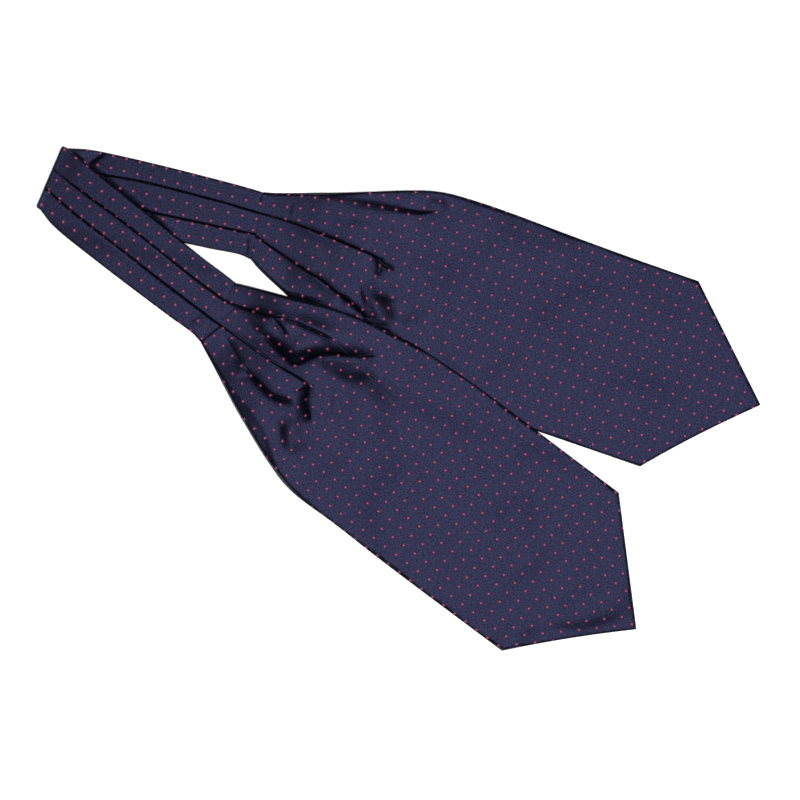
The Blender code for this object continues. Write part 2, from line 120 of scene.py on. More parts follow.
def gap_to_line(x, y, line):
    """Distance from points to an open line, positive on its left, and how far along it they are."""
    gap = np.full(np.shape(x), 1e9)
    side = np.ones(np.shape(x))
    place = np.zeros(np.shape(x))
    lengths = [math.dist(line[i], line[i + 1]) for i in range(len(line) - 1)]
    run, total = 0.0, sum(lengths)
    for i, length in enumerate(lengths):
        ax, ay = line[i]
        dx, dy = line[i + 1][0] - ax, line[i + 1][1] - ay
        share = np.clip(((x - ax) * dx + (y - ay) * dy) / length**2, 0, 1)
        found = np.hypot(x - ax - share * dx, y - ay - share * dy)
        nearer = found < gap
        turned = dx * (y - ay - share * dy) - dy * (x - ax - share * dx)
        side = np.where(nearer, np.where(turned < 0, -1.0, 1.0), side)
        place = np.where(nearer, (run + share * length) / total, place)
        gap = np.where(nearer, found, gap)
        run += length
    return gap * side, place


def depth_inside(x, y, outline):
    """How deep points lie inside a closed outline, negative outside it."""
    gap, _ = gap_to_line(x, y, outline + outline[:1])
    within = np.zeros(np.shape(x), bool)
    for i, (ax, ay) in enumerate(outline):
        bx, by = outline[i - 1]
        if by != ay:
            crosses = (ay > y) != (by > y)
            within ^= crosses & (x < ax + (y - ay) * (bx - ax) / (by - ay))
    return np.where(within, np.abs(gap), -np.abs(gap))


def end_edge(cut, across):
    """How far along the pointed end's edge is, at places across it."""
    tip_along, tip_across = cut.tip
    low, high = cut.lower[-1][1], cut.upper[-1][1]
    share = (across - low) / (tip_across - low)
    lower_side = cut.corner_lower + share * (tip_along - cut.corner_lower)
    lower_side -= 4 * cut.hollow * share * (1 - share)
    upper_side = tip_along + (across - tip_across) / (high - tip_across) * (
        cut.corner_upper - tip_along
    )
    return np.where(across < tip_across, lower_side, upper_side)


def shape_to_cut(cut, row, across, at_corner, middle, inset):
    """Rows and columns shaped to the cut: they lean at the tack line and bend to the point."""
    corner = cut.lower[-1][0]
    low, high = follow(cut.lower, row), follow(cut.upper, row)
    share = (across - low) / (high - low)
    lean = cut.lean_lower + share * (cut.lean_upper - cut.lean_lower)
    along = row + lean * (1 - smooth(row / LEAN_FADES))
    side = np.where(at_corner < middle, cut.lower[-1][1], cut.upper[-1][1])
    end_across = cut.tip[1] + (at_corner - middle) * (side - cut.tip[1]) / (side - middle)
    turn = smooth((row - POINT_BEGINS) / (corner - POINT_BEGINS))
    along += (end_edge(cut, end_across) - corner) * turn - inset * math.sqrt(2)
    return along, across + (end_across - across) * turn


def blade_rows(cut, fold_step, flat_step):
    """A blade's rows, closest where the pleats open, and each row's inset from the point."""
    corner = cut.lower[-1][0]
    rows = np.concatenate(
        [
            np.arange(0, NECK_ENDS, fold_step * 0.9),
            np.arange(NECK_ENDS, PLEATS_END, fold_step),
            np.arange(PLEATS_END, corner - 4, flat_step),
            np.full(len(RIM), corner),
        ]
    )
    insets = np.concatenate([np.zeros(len(rows) - len(RIM)), RIM[::-1]])
    return rows[:, None], insets[:, None]


def cloth_mesh(name, x, y, z, lattice, skin):
    """A sheet from a grid of points, with its cloth coordinates kept as a map for the weave."""
    rows, columns = x.shape
    points = np.stack([x, y, z], axis=-1).reshape(-1, 3) * MM
    corner = np.arange(rows * columns).reshape(rows, columns)
    faces = np.stack(
        [corner[:-1, :-1], corner[1:, :-1], corner[1:, 1:], corner[:-1, 1:]], axis=-1
    ).reshape(-1, 4)
    return solid_mesh(name, points, faces.tolist(), lattice.reshape(-1, 2), skin, corner[0])


def solid_mesh(name, points, faces, lattice, skin, sharp):
    """An object from points and faces, with its cloth coordinates, smooth but at its ends."""
    mesh = bpy.data.meshes.new(name)
    mesh.from_pydata(points.tolist(), [], faces)
    spots = mesh.uv_layers.new(name="cloth")
    corners = np.zeros(len(mesh.loops), np.int32)
    mesh.loops.foreach_get("vertex_index", corners)
    spots.data.foreach_set("uv", lattice[corners].astype(np.float32).ravel())
    mesh.materials.append(skin)
    mesh.shade_smooth()
    mesh.update()
    ends = np.zeros(len(mesh.vertices), bool)
    ends[sharp] = True
    edges = np.zeros(len(mesh.edges) * 2, np.int32)
    mesh.edges.foreach_get("vertices", edges)
    crisp = mesh.attributes.new("sharp_edge", "BOOLEAN", "EDGE")
    crisp.data.foreach_set("value", ends[edges].reshape(-1, 2).all(axis=1))
    made = bpy.data.objects.new(name, mesh)
    bpy.context.scene.collection.objects.link(made)
    return made


def thicken(sheet):
    """Gives a sheet the thickness of one layer of silk, below its upper face."""
    wall = sheet.modifiers.new("wall", "SOLIDIFY")
    wall.thickness = SHEET_WALL * MM
    wall.offset = -1


# Cloth coordinates count the dots: a dot's centre is a whole number both ways
DOT_PITCH = (10.55, 9.4)  # how far apart the dots are woven, along and across


def lattice_of(both, along, across):
    """Cloth coordinates of a place on the blade, from terms in hundreds of millimetres."""
    s, t = along / 100.0, across / 100.0
    powers = [1, s, t, s * s, s * t, t * t, s**3, s * s * t, s * t * t, t**3]
    return np.stack(
        [sum(term * power for term, power in zip(terms, powers)) for terms in both], axis=-1
    )


# The silk: a dark blue twill with small raised pink dots woven in
DARK_BLUE = (0.0012, 0.0012, 0.0026)
SLUB_BLUE = (0.0018, 0.0018, 0.0039)
DOT_PINK = (0.212, 0.068, 0.135)
DOT_RED = (0.050, 0.003, 0.010)
DOT_EDGE = (2.1, 0.8)  # where the dot begins and is full, in millimetres from its centre
DOT_HEART = (1.08, 0.35)  # where its pink heart begins and is full
ROUGHNESS = (0.30, 0.51)  # from the smoothest cloth to the slubs
DOT_ROUGHER = 0.2
RELIEF = 0.00019  # how deep the weave's relief is, in metres
RIB_HEIGHT, SLUB_HEIGHT, DOT_HEIGHT = 0.08, 0.9, 0.5  # shares of that depth


def dotted_silk():
    """Dark blue silk twill: broad blue gloss, fine diagonal ribs, small slubs and woven dots."""
    silk = bpy.data.materials.new("dotted_silk")
    silk.use_nodes = True
    tree = silk.node_tree

    def node(kind, out, **settings):
        """One output of a new node, with its settings. Its inputs (in_...) are set, or linked."""
        made = tree.nodes.new(kind)
        for name, value in settings.items():
            if not name.startswith("in_"):
                setattr(made, name, value)
                continue
            key = name[3:]
            socket = made.inputs[int(key) if key.isdigit() else key.replace("_", " ")]
            if isinstance(value, bpy.types.NodeSocket):
                tree.links.new(value, socket)
            else:
                socket.default_value = value
        return made.outputs[out]

    def share_of_dot(start, full):
        return node(
            "ShaderNodeMapRange", "Result", interpolation_type="SMOOTHSTEP", in_Value=from_dot,
            in_From_Min=start, in_From_Max=full,
        )

    half, pitch = (0.5, 0.5, 0.0), (*DOT_PITCH, 0.0)
    cloth = node("ShaderNodeUVMap", "UV", uv_map="cloth")
    centred = node("ShaderNodeVectorMath", 0, operation="ADD", in_0=cloth, in_1=half)
    cell = node("ShaderNodeVectorMath", 0, operation="FRACTION", in_0=centred)
    offset = node("ShaderNodeVectorMath", 0, operation="SUBTRACT", in_0=cell, in_1=half)
    in_mm = node("ShaderNodeVectorMath", 0, operation="MULTIPLY", in_0=offset, in_1=pitch)
    from_dot = node("ShaderNodeVectorMath", "Value", operation="LENGTH", in_0=in_mm)

    threads = node("ShaderNodeVectorMath", 0, operation="MULTIPLY", in_0=cloth, in_1=pitch)
    slubs = node(
        "ShaderNodeTexNoise", "Fac", noise_dimensions="2D", in_Vector=threads, in_Scale=0.75,
        in_Detail=1.0,
    )
    ribs = node(
        "ShaderNodeTexWave", "Fac", bands_direction="DIAGONAL", in_Vector=threads, in_Scale=0.55,
        in_Distortion=0.6, in_Detail=1.0,
    )

    ground = node(
        "ShaderNodeMix", "Result", data_type="RGBA", in_Factor=slubs, in_A=(*DARK_BLUE, 1.0),
        in_B=(*SLUB_BLUE, 1.0),
    )
    dot_edge, dot_heart = share_of_dot(*DOT_EDGE), share_of_dot(*DOT_HEART)
    dot_colour = node(
        "ShaderNodeMix", "Result", data_type="RGBA", in_Factor=dot_heart, in_A=(*DOT_RED, 1.0),
        in_B=(*DOT_PINK, 1.0),
    )
    colour = node(
        "ShaderNodeMix", "Result", data_type="RGBA", in_Factor=dot_edge, in_A=ground,
        in_B=dot_colour,
    )

    ground_gloss = node(
        "ShaderNodeMapRange", "Result", in_Value=slubs, in_From_Min=0.35, in_From_Max=0.65,
        in_To_Min=ROUGHNESS[0], in_To_Max=ROUGHNESS[1],
    )
    gloss = node(
        "ShaderNodeMath", 0, operation="MULTIPLY_ADD", in_0=dot_edge, in_1=DOT_ROUGHER,
        in_2=ground_gloss,
    )

    height = node("ShaderNodeMath", 0, operation="MULTIPLY", in_0=ribs, in_1=RIB_HEIGHT)
    for part, part_height in ((slubs, SLUB_HEIGHT), (dot_edge, DOT_HEIGHT)):
        height = node(
            "ShaderNodeMath", 0, operation="MULTIPLY_ADD", in_0=part, in_1=part_height,
            in_2=height,
        )
    relief = node("ShaderNodeBump", "Normal", in_Strength=1.0, in_Distance=RELIEF, in_Height=height)

    shader = tree.nodes["Principled BSDF"]
    shader.inputs["Metallic"].default_value = 0.0
    shader.inputs["Specular IOR Level"].default_value = 0.21
    shader.inputs["Specular Tint"].default_value = (0.41, 0.435, 1.0, 1.0)
    tree.links.new(colour, shader.inputs["Base Color"])
    tree.links.new(gloss, shader.inputs["Roughness"])
    tree.links.new(relief, shader.inputs["Normal"])
    return silk


SILK = dotted_silk()


def lower_sheet(name, place, cut, rests, flat_lattice):
    """The blade's lower sheet: flat on what it lies on, its edges turned up to the seam."""
    rows, insets = blade_rows(cut, fold_step=2.4, flat_step=4.5)
    share = np.linspace(0.0, 1.0, LOWER_COLUMNS)[None, :]
    reach = np.array(RIM)[None, :]
    low, high = follow(cut.lower, rows), follow(cut.upper, rows)
    across = np.hstack(
        [low + reach[:, :-1], low + reach[:, -1:] + share * (high - low - 2 * RIM[-1]),
         high - reach[:, -2::-1]]
    )
    corner = np.broadcast_to(across[-1:], across.shape)
    middle = (corner[0, 0] + corner[0, -1]) / 2
    along, across = shape_to_cut(cut, rows, across, corner, middle, insets)
    edge = np.hstack([reach[:, :-1], np.full(share.shape, RIM[-1]), reach[:, -2::-1]])
    last = np.where(rows == rows[-1], insets, RIM[-1])
    near = np.minimum(edge, last) / RIM[-1]
    rise = 1 - np.sqrt(1 - (1 - near) ** 2)
    x, y = on_table(place, along, across)
    z = rests(x, y) + LOWER_SHEET_HEIGHT + (SEAM_HEIGHT - LOWER_SHEET_HEIGHT - SEAM_CLEAR) * rise
    sheet = cloth_mesh(name, x, y, z, lattice_of(flat_lattice, along, across), SILK)
    thicken(sheet)
    return sheet


FAR_LIFT = 3.0  # how far the cloth's fullness lifts the far blade's upper edge off the table
LIFT_WIDTH = 20.0


def lifted(x, y):
    """How far the far blade's upper edge is lifted, 0 to 1. It has no fullness of its own."""
    along, across = on_cloth(FAR_BLADE, x, y)
    edge = smooth(1 - (follow(FAR_CUT.upper, along) - across) / LIFT_WIDTH)
    return edge * smooth((along - 25.0) / 50.0) * smooth((155.0 - along) / 40.0)


def on_the_table(x, y):
    """Height of what the far blade lies on: the table, but for its lifted edge."""
    return FAR_LIFT * lifted(x, y)


FAR_FLAT_LATTICE = (
    (-25.348, 11.013, -0.28, -0.58, 0.123, 0.372, 0.07, -0.027, -0.001, -0.234),
    (-3.211, 1.197, 11.369, -0.434, -0.515, 0.076, 0.046, 0.081, -0.028, 0.018),
)
far_lower_sheet = lower_sheet(
    "far_lower_sheet", FAR_BLADE, FAR_CUT, on_the_table, FAR_FLAT_LATTICE
)
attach(far_lower_sheet, "root")
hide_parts("far_blade_under")


# The far half's upper sheet
# The silk that shows on the far half. Two pleats come out of the tack line and open as the blade
# widens, and the slack goes into soft troughs. The near half presses flat what it covers.

# The two pleats' folded edges, as (along, across). They fan out from the tack line.
FAR_PLEATS = (
    [(0, -5), (5, -6), (10, -7.6), (20, -10.5), (30, -13.5), (40, -16.3), (50, -18.8), (60, -21),
     (70, -24.6), (80, -28.2), (90, -31.6), (96, -34), (104, -37), (120, -37), (137, -33),
     (170, -28), (230, -26), (340, -25.6)],
    [(0, 12.8), (20, 13.7), (30, 13.5), (40, 13), (50, 12.6), (60, 12), (70, 11.3), (80, 10.8),
     (90, 10.3), (95, 9.4), (100, 7.4), (105, 6), (120, 8), (137, 14), (170, 22), (230, 25),
     (340, 24.5)],
)

# The near blade's place and cut, because it lies on this one
NEAR_BLADE = Place(-140.4, 66.8, -36.7)
NEAR_CUT = Cut(
    [(0, -26.4), (8, -30.1), (20, -35.6), (38, -44.2), (55, -51.9), (75, -60.1), (90, -66.0),
     (105, -71.3), (120, -75.7), (137, -77.7), (170, -77.4), (230, -78.6), (334, -78.8)],
    [(0, 26.4), (8, 29.8), (20, 34.7), (38, 42.0), (55, 49.4), (75, 56.6), (90, 61.0),
     (105, 64.6), (120, 67.8), (137, 70.9), (170, 73.4), (230, 74.5), (334, 73.9)],
    2.9, -3.2, 334.3, 333.6, (408.0, -3.0), 1.9,
)

# A pleat's folded edge in section, from the strip below it round to the strip on top:
# how far under the top strip it goes, and how far up the step
S_FOLD = (
    (0.00, 0.00), (0.40, 0.01), (0.80, 0.04), (0.98, 0.16), (1.00, 0.30), (0.92, 0.42),
    (0.55, 0.48), (0.20, 0.50), (0.03, 0.56), (-0.06, 0.70), (-0.03, 0.86), (0.05, 0.96),
    (0.14, 1.00),
)
TURNED_UNDER = 0.45  # how much of that height is the part under the top strip
TUCK = 2.8  # how far a pleat goes under its top strip
PLEAT_SHARES = (0.36, 0.70)  # where the pleats are between the edges, at the tack line
STRIP_COLUMNS = 53
UPPER_SHEET_HEIGHT = 2.0  # where it is smooth
DEEPEST = -1.1  # how far a fold can sink before it lies on the lower sheet
RIPPLE = 0.2  # height of the faint ripples, which are most marked near the pleats
SAG = 1.6  # height of the wider, softer ones over the flat of the blade
SAG_WAVES, SAG_LENGTHS = 16, (34.0, 95.0)

# A crease falls away from its line on each side. Its core rounds the line, its ends fade out, and
# its lap pushes the lip beside it over the line, to the left if the lap is above 0. A roll lifts
# the cloth on its left by its height, and sinks it on its right.
Crease = namedtuple("Crease", "height left right core ends lap path")
Roll = namedtuple("Roll", "height reach ends path")
LIP_PLACE, LIP_WIDTH = 1.7, 1.2  # how far the lip is from the line, and how wide

# A pleated sheet: whether the strip at its lower edge is on top, the height of the opened pleats,
# each pleat's step, the width over which it rolls down to each edge, how much of its height a wide
# roll keeps, and the creases
Folds = namedtuple("Folds", "top_low crown low_step high_step lower_roll upper_roll held creases")
FAR_FOLDS = Folds(
    True,
    [(0, 0.0), (10, 0.35), (20, 1.0), (40, 2.4), (62, 3.6), (82, 4.2), (98, 4.2), (112, 3.6),
     (130, 2.2), (150, 0.9), (185, 0.1), (200, 0.0), (420, 0.0)],
    [(0, 0.85), (16, 1.2), (40, 1.7), (62, 2.0), (85, 2.1), (96, 1.8), (104, 0.5), (110, 0),
     (420, 0)],
    [(0, 0.85), (16, 1.3), (40, 1.9), (60, 2.4), (80, 2.0), (92, 1.7), (97, 0.8), (101, 0),
     (420, 0)],
    [(0, 2.5), (420, 2.5)],
    [(0, 2.5), (420, 2.5)],
    0.0,
    [
        Roll(-1.3, 4.6, 0.2,
             [(32, 38.5), (50, 43.4), (64, 46.6), (80, 49), (95, 50), (108, 51.3), (119, 54),
              (128, 59)]),
        Roll(-0.9, 2.0, 0.35,
             [(100, 50.5), (108, 51.6), (115, 53), (121, 55), (127, 58), (133, 61)]),
        Crease(0.9, 2.0, 2.0, 1.0, 0.4, 0, [(118, 60), (126, 63), (132, 64), (136, 60)]),
        Roll(-0.3, 4.0, 0.4, [(58, 27), (74, 31), (90, 34)]),
        Crease(-2.2, 2.6, 1.6, 0.2, 0.35, 0,
               [(92, 10.2), (98, 8.4), (103, 6.4), (108, 5.6), (114, 6.2)]),
        Crease(-1.5, 2.2, 2.2, 0.3, 0.4, 0, [(98, 9), (100.5, 5), (101.5, 1), (100, -5)]),
        Roll(-0.3, 1.6, 0.4, [(26, 13), (42, 12.1), (56, 11.7), (74, 10.7)]),
        Roll(-0.5, 1.6, 0.3, [(50, -18.6), (57, -20.3), (64, -22.8), (70, -25)]),
        Crease(-3.0, 1.2, 3.2, 0.2, 0.25, 0,
               [(76, -26.8), (84, -29.2), (91, -31.6), (97, -34.6), (104, -39.5)]),
        Roll(0.5, 2.0, 0.4, [(91, -13), (94, -19), (98, -25), (103, -31)]),
        Roll(-1.1, 4.2, 0.4, [(114, 64.5), (122, 67), (130, 68.5), (139, 69)]),
        Crease(-3.0, 6.0, 4.0, 2.0, 0.35, 0, [(84, -41), (100, -41), (116, -43), (138, -47)]),
        Roll(0.45, 3.5, 0.4, [(94, 13), (100, 25), (100, 38), (95, 50)]),
        Crease(1.0, 3.4, 3.2, 2.0, 0.35, 0,
               [(101, -3), (99.5, -12), (101.5, -19), (107, -26), (113, -32), (121, -40)]),
        Roll(-1.9, 9.0, 0.35, [(104, -10), (111, -18), (118, -25), (124, -32), (130, -40)]),
        Roll(-0.6, 5.5, 0.4, [(99, -20), (108, -20), (118, -18), (128, -13)]),
        Roll(0.4, 0.9, 0.15, [(0.6, -6), (2.6, -14), (4.2, -25)]),
        Roll(0.3, 1.0, 0.2, [(-2.0, -3), (-3.5, 9.5)]),
        Roll(0.15, 1.4, 0.3, [(21, 30), (23, 17)]),
    ],
)


def blade_outline(place, cut):
    """The blade's closed outline on the table."""
    rows = np.linspace(0, cut.lower[-1][0], 45)
    outline = []
    for edge in (cut.lower, cut.upper):
        across = follow(edge, rows)
        corner = np.full(len(rows), edge[-1][1])
        along, across = shape_to_cut(cut, rows, across, corner, 0.0, 0.0)
        side = list(zip(*on_table(place, along, across)))
        outline += side if edge is cut.lower else [on_table(place, *cut.tip)] + side[::-1]
    return [(float(x), float(y)) for x, y in outline]


NEAR_BLADE_OUTLINE = blade_outline(NEAR_BLADE, NEAR_CUT)


def pressed(x, y):
    """How far the near blade presses the far one flat, 0 to 1: gently, then sharply at its edge."""
    depth = depth_inside(x, y, NEAR_BLADE_OUTLINE)
    along, _ = on_cloth(NEAR_BLADE, x, y)
    wide = 1 - smooth((along - 44.0) / 25.0)
    gentle = 0.1 * np.clip((depth + 3.0) / 3.0, 0.0, 1.0) ** 2
    sharp = gentle + (1 - gentle) * smooth((depth - 0.5) / 2.5)
    return wide * smooth((depth + 5.6) / 7.0) + (1 - wide) * sharp


def pressed_or_lifted(x, y):
    """How much of the far blade's own fullness is taken away, 0 to 1."""
    return 1 - (1 - pressed(x, y)) * (1 - lifted(x, y))


def ripple(along, across, seed, waves=26, length=(16.0, 46.0)):
    """Faint unevenness of cloth that was handled: many shallow waves, in millimetres."""
    draw = np.random.default_rng(seed)
    height = np.zeros(np.shape(along))
    for _ in range(waves):
        turn = draw.uniform(0, math.pi)
        size = draw.uniform(*length)
        phase = draw.uniform(0, 2 * math.pi)
        run = (along * math.cos(turn) + across * math.sin(turn)) * 2 * math.pi / size
        height += np.sin(run + phase) * size / length[1]
    return height / math.sqrt(waves)


def kept_above(floor, height, sharpness):
    """Heights that round off softly where they would go below a floor."""
    return floor + np.logaddexp(0.0, (height - floor) * sharpness) / sharpness


def drawn(path, step=1.5):
    """A crease's path as a smooth line of short steps."""
    run = np.concatenate([[0.0], np.cumsum([math.dist(a, b) for a, b in zip(path, path[1:])])])
    places = np.linspace(0.0, run[-1], max(3, round(run[-1] / step)))
    along = follow(list(zip(run, [point[0] for point in path])), places)
    across = follow(list(zip(run, [point[1] for point in path])), places)
    return [(float(a), float(b)) for a, b in zip(along, across)]


def left_of(path, run):
    """The direction to the left of a line, at shares of the way along it."""
    points = np.array(path)
    heading = np.gradient(points, axis=0)
    heading /= np.linalg.norm(heading, axis=1)[:, None]
    places = np.linspace(0, 1, len(points))
    return -np.interp(run, places, heading[:, 1]), np.interp(run, places, heading[:, 0])


def creased(creases, along, across):
    """How far creases lift each point, and how far their lips move it along and across."""
    height = np.zeros(np.shape(across))
    moved_along, moved_across = np.zeros(height.shape), np.zeros(height.shape)
    for crease in creases:
        path = drawn(crease.path)
        gap, run = gap_to_line(along, across, path)
        ends = smooth(run / crease.ends) * smooth((1 - run) / crease.ends)
        if isinstance(crease, Roll):
            away = gap / crease.reach
            height += crease.height * ends * np.tanh(1.65 * away) * np.exp(-((away / 3) ** 2))
            continue
        left_along, left_across = left_of(path, run)
        reach = np.where(gap > 0, crease.left, crease.right)
        away = (np.hypot(gap, crease.core) - crease.core) / reach
        height += crease.height * ends * np.exp(-away)
        if crease.lap:
            on_lip = smooth(-gap * math.copysign(1, crease.lap))
            lip = np.exp(-(((np.abs(gap) - LIP_PLACE) / LIP_WIDTH) ** 2)) * on_lip * ends
            moved_along += lip * crease.lap * left_along
            moved_across += lip * crease.lap * left_across
    return height, moved_along, moved_across


def pleated_columns(rows, cut, pleats, folds):
    """A pleated sheet's columns: their places across, strips, and shares of a strip or fold."""
    low, high = follow(cut.lower, rows), follow(cut.upper, rows)
    fade = 1 - smooth(rows / LEAN_FADES)
    lines, steps, tucks, spreads = [], [], [], []
    for line, steps_up, share in zip(pleats, (folds.low_step, folds.high_step), PLEAT_SHARES):
        lean = cut.lean_lower + share * (cut.lean_upper - cut.lean_lower)
        lines.append(follow(line, rows + lean * fade))
        step = np.maximum(follow(steps_up, rows), 0.0)
        steps.append(step)
        tucks.append(TUCK * smooth(step / 0.8))
        spreads.append(0.35 + 2.2 * (1 - smooth(step / 0.6)))
    share = np.linspace(0.0, 1.0, STRIP_COLUMNS)[None, :]
    reach = np.array(RIM)[None, :]
    rim = np.ones((1, len(RIM) - 1))
    across, strip, within = [low + reach[:, :-1]], [0 * rim], [0 * rim]
    starts = (low + RIM[-1], lines[0] + spreads[0], lines[1] + spreads[1])
    stops = (lines[0] - spreads[0], lines[1] - spreads[1], high - RIM[-1])
    fold = np.array(S_FOLD).T
    if folds.top_low:
        fold = fold[:, ::-1]
    sign = -1 if folds.top_low else 1
    ramp = np.linspace(-1.0, 1.0, len(S_FOLD))[None, :]
    for k in range(3):
        across.append(starts[k] + share * (stops[k] - starts[k]))
        strip.append(np.full(share.shape, float(k)))
        within.append(share)
        if k < 2:
            across.append(lines[k] + spreads[k] * ramp + sign * tucks[k] * fold[0][None, :])
            strip.append(np.full((1, len(S_FOLD)), k + 0.5))
            within.append(fold[1][None, :])
    across.append(high - reach[:, -2::-1])
    strip.append(2 * rim)
    within.append(rim)
    return np.hstack(across), np.hstack(strip), np.hstack(within), steps, lines


def pleat_dip(across, lines, strip, within, steps, top_low):
    """How far the cloth beside a pleat sinks under its folded edge, in a narrow gutter."""
    dip = np.zeros(across.shape)
    for k in range(2):
        below = strip == (k + 1 if top_low else k)
        turned = (strip == k + 0.5) & (within < TURNED_UNDER)
        gap = np.abs(across - lines[k])
        width = 0.6 + 0.6 * steps[k]
        depth = 0.85 * steps[k]
        dip += np.where(below, depth * np.exp(-gap / width), 0.0)
        dip += np.where(turned, depth * (1 - smooth(within / TURNED_UNDER)), 0.0)
    return dip


def pleat_height(rows, strip, within, steps, top_low):
    """How far each column stands up on the pleats under it, highest at its strip's folded edge."""
    level, place = (2 - strip, 1 - within) if top_low else (strip, within)
    first, second = (steps[1], steps[0]) if top_low else (steps[0], steps[1])
    pressed_flat = smooth(1 - rows / 34.0)

    def on_strip(which, share):
        lean = pressed_flat + (1 - pressed_flat) * (1 - share) ** 3
        if which == 0:
            return np.zeros(np.broadcast(rows, share).shape)
        if which == 1:
            return first * lean
        return second * lean + first * pressed_flat

    height = np.zeros(np.broadcast(rows, strip).shape)
    for which in range(3):
        height = np.where(level == which, on_strip(which, place), height)
    for which in range(2):
        below, above = on_strip(which, np.ones((1, 1))), on_strip(which + 1, np.zeros((1, 1)))
        height = np.where(level == which + 0.5, below + within * (above - below), height)
    return height


def over_fold(up):
    """How far the dots have changed to the top strip's, at shares of a folded edge's height."""
    return np.clip((up - 0.1) / 0.3, 0, 1)


def lattice_on_strips(strips, strip, share, along, across):
    """Cloth coordinates on the strips, which change over from one to the next round a fold."""
    found = [lattice_of(both, along, across) for both in strips]
    below = np.choose(np.floor(strip).astype(int)[..., None], found)
    above = np.choose(np.ceil(strip).astype(int)[..., None], found)
    return below + share[..., None] * (above - below)


def upper_sheet(name, place, cut, pleats, folds, rests, press, lattices, seed):
    """The blade's upper sheet, its pleats folded over, with its creases and its rolled edges."""
    rows, insets = blade_rows(cut, fold_step=0.9, flat_step=2.7)
    across, strip, within, steps, lines = pleated_columns(rows, cut, pleats, folds)
    dip = pleat_dip(across, lines, strip, within, steps, folds.top_low)
    corner = np.broadcast_to(across[-1:], across.shape)
    middle = corner[0, corner.shape[1] // 2]
    low, high = follow(cut.lower, rows), follow(cut.upper, rows)
    to_low, to_high = across - low, high - across
    along, across = shape_to_cut(cut, rows, across, corner, middle, insets)
    crown = follow(folds.crown, rows) * np.ones(across.shape)
    height, moved_along, moved_across = creased(folds.creases, along, across)
    height += crown
    x, y = on_table(place, along + moved_along, across + moved_across)
    slack = smooth((along - 6.0) / 40.0) * (0.35 + 0.65 * smooth((190.0 - along) / 90.0))
    height += RIPPLE * slack * ripple(along, across, seed)
    flat_of_blade = smooth((along - 105.0) / 50.0)
    height += SAG * (flat_of_blade * ripple(along, across, seed + 1, SAG_WAVES, SAG_LENGTHS))
    height = kept_above(DEEPEST * smooth(crown / 1.5), height, 3.0)
    for edge, roll in ((to_low, folds.lower_roll), (to_high, folds.upper_roll)):
        width = follow(roll, rows)
        left_over = folds.held * smooth((width - 2.5) / 3.0)
        height *= left_over + (1 - left_over) * np.clip(edge / width, 0, 1) ** 0.8
    height += pleat_height(rows, strip, within, steps, folds.top_low)
    height = kept_above(DEEPEST, height - dip, 9.0)
    height *= 1 - press(x, y)

    end_gap = np.where(rows == rows[-1], insets, RIM[-1])
    near = np.clip(np.minimum(np.minimum(to_low, to_high), end_gap) / RIM[-1], 0, 1)
    rolled = np.sqrt(1 - (1 - near) ** 2)
    z = rests(x, y) + SEAM_HEIGHT + (UPPER_SHEET_HEIGHT + height - SEAM_HEIGHT) * rolled

    flat, *strips = lattices
    along, across = along + moved_along, across + moved_across
    share = 1 - over_fold(within) if folds.top_low else over_fold(within)
    share = np.where(strip > np.floor(strip), share, 0.0)
    lattice = lattice_on_strips(strips, strip, share, along, across)
    opened = smooth((along - 88.0) / 24.0)[..., None]
    lattice += opened * (lattice_of(flat, along, across) - lattice)
    sheet = cloth_mesh(name, x, y, z, lattice, SILK)
    thicken(sheet)
    return sheet


FAR_LATTICES = (
    FAR_FLAT_LATTICE,
    ((-24.814, 9.164, -3.034, -1.041, -3.059, -2.561),
     (-7.575, 4.344, 9.389, -0.857, -2.907, -3.595)),
    ((-24.799, 9.783, -0.033, -0.256, -0.97, -1.243),
     (-3.781, 0.783, 10.426, 0.363, 0.337, 0.351)),
    ((-25.133, 9.69, 1.636, -0.182, -0.492, 0.841),
     (-0.123, -2.691, 10.937, -0.187, 2.302, -2.44)),
)
far_upper_sheet = upper_sheet(
    "far_upper_sheet", FAR_BLADE, FAR_CUT, FAR_PLEATS, FAR_FOLDS, on_the_table,
    pressed_or_lifted, FAR_LATTICES, 11,
)
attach(far_upper_sheet, "root")
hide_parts("far_blade_upper")


# The far half's neckband
# The same two pleats, pressed flat through three layers and tacked where the blade begins. The
# band ends at the back of the neck, in the seam that joins the halves, where it turns over.

BAND_THICK = 3.4
SEAM_GAP = 0.45
FOLD_LIFT = BAND_THICK + SEAM_GAP / 2  # height of the line that the band is folded round
BAND_BASE = 2.0  # height of the band's lowest strip
BAND_STEP = 0.85
BAND_TUCK = 2.6
BAND_FOLD = 0.4  # half the width that a pleat's folded edge takes
BAND_COLUMNS = 19
GUTTER = 0.6  # how far the cloth sinks beside a pleat
GUTTER_WIDTH = 1.1
LOWEST_DENT = 0.8  # height that a mark on top can press the band down to
SQUARENESS = 0.45  # of the band's turn round the fold: 1 is a full round

FAR_BAND = Place(-111.2, 131.8, -13.8)

# From the fold, 0, to the tack line, 1: each edge's place, then the two pleats
BandSection = namedtuple("BandSection", "place lower_along lower upper_along upper low high")
FAR_BAND_SECTIONS = [
    BandSection(0.0, -169.3, -24.4, -160.8, 26.9, -8.6, 8.4),
    BandSection(0.1, -151.0, -24.0, -144.5, 29.3, -8.3, 10.6),
    BandSection(0.4, -100.0, -24.4, -97.0, 30.7, -7.2, 14.8),
    BandSection(0.8, -32.0, -23.3, -33.0, 30.4, -5.3, 14.3),
    BandSection(0.94, -8.0, -22.2, -10.6, 29.8, -4.5, 13.2),
    BandSection(1.0, 2.2, -23.9, -1.0, 29.2, -4.1, 12.8),
]

# The band's rim in section: inset from the edge, and depth below the strip
BAND_RIM = ((0.5, 0.55), (0.75, 0.22), (1.2, 0.05))

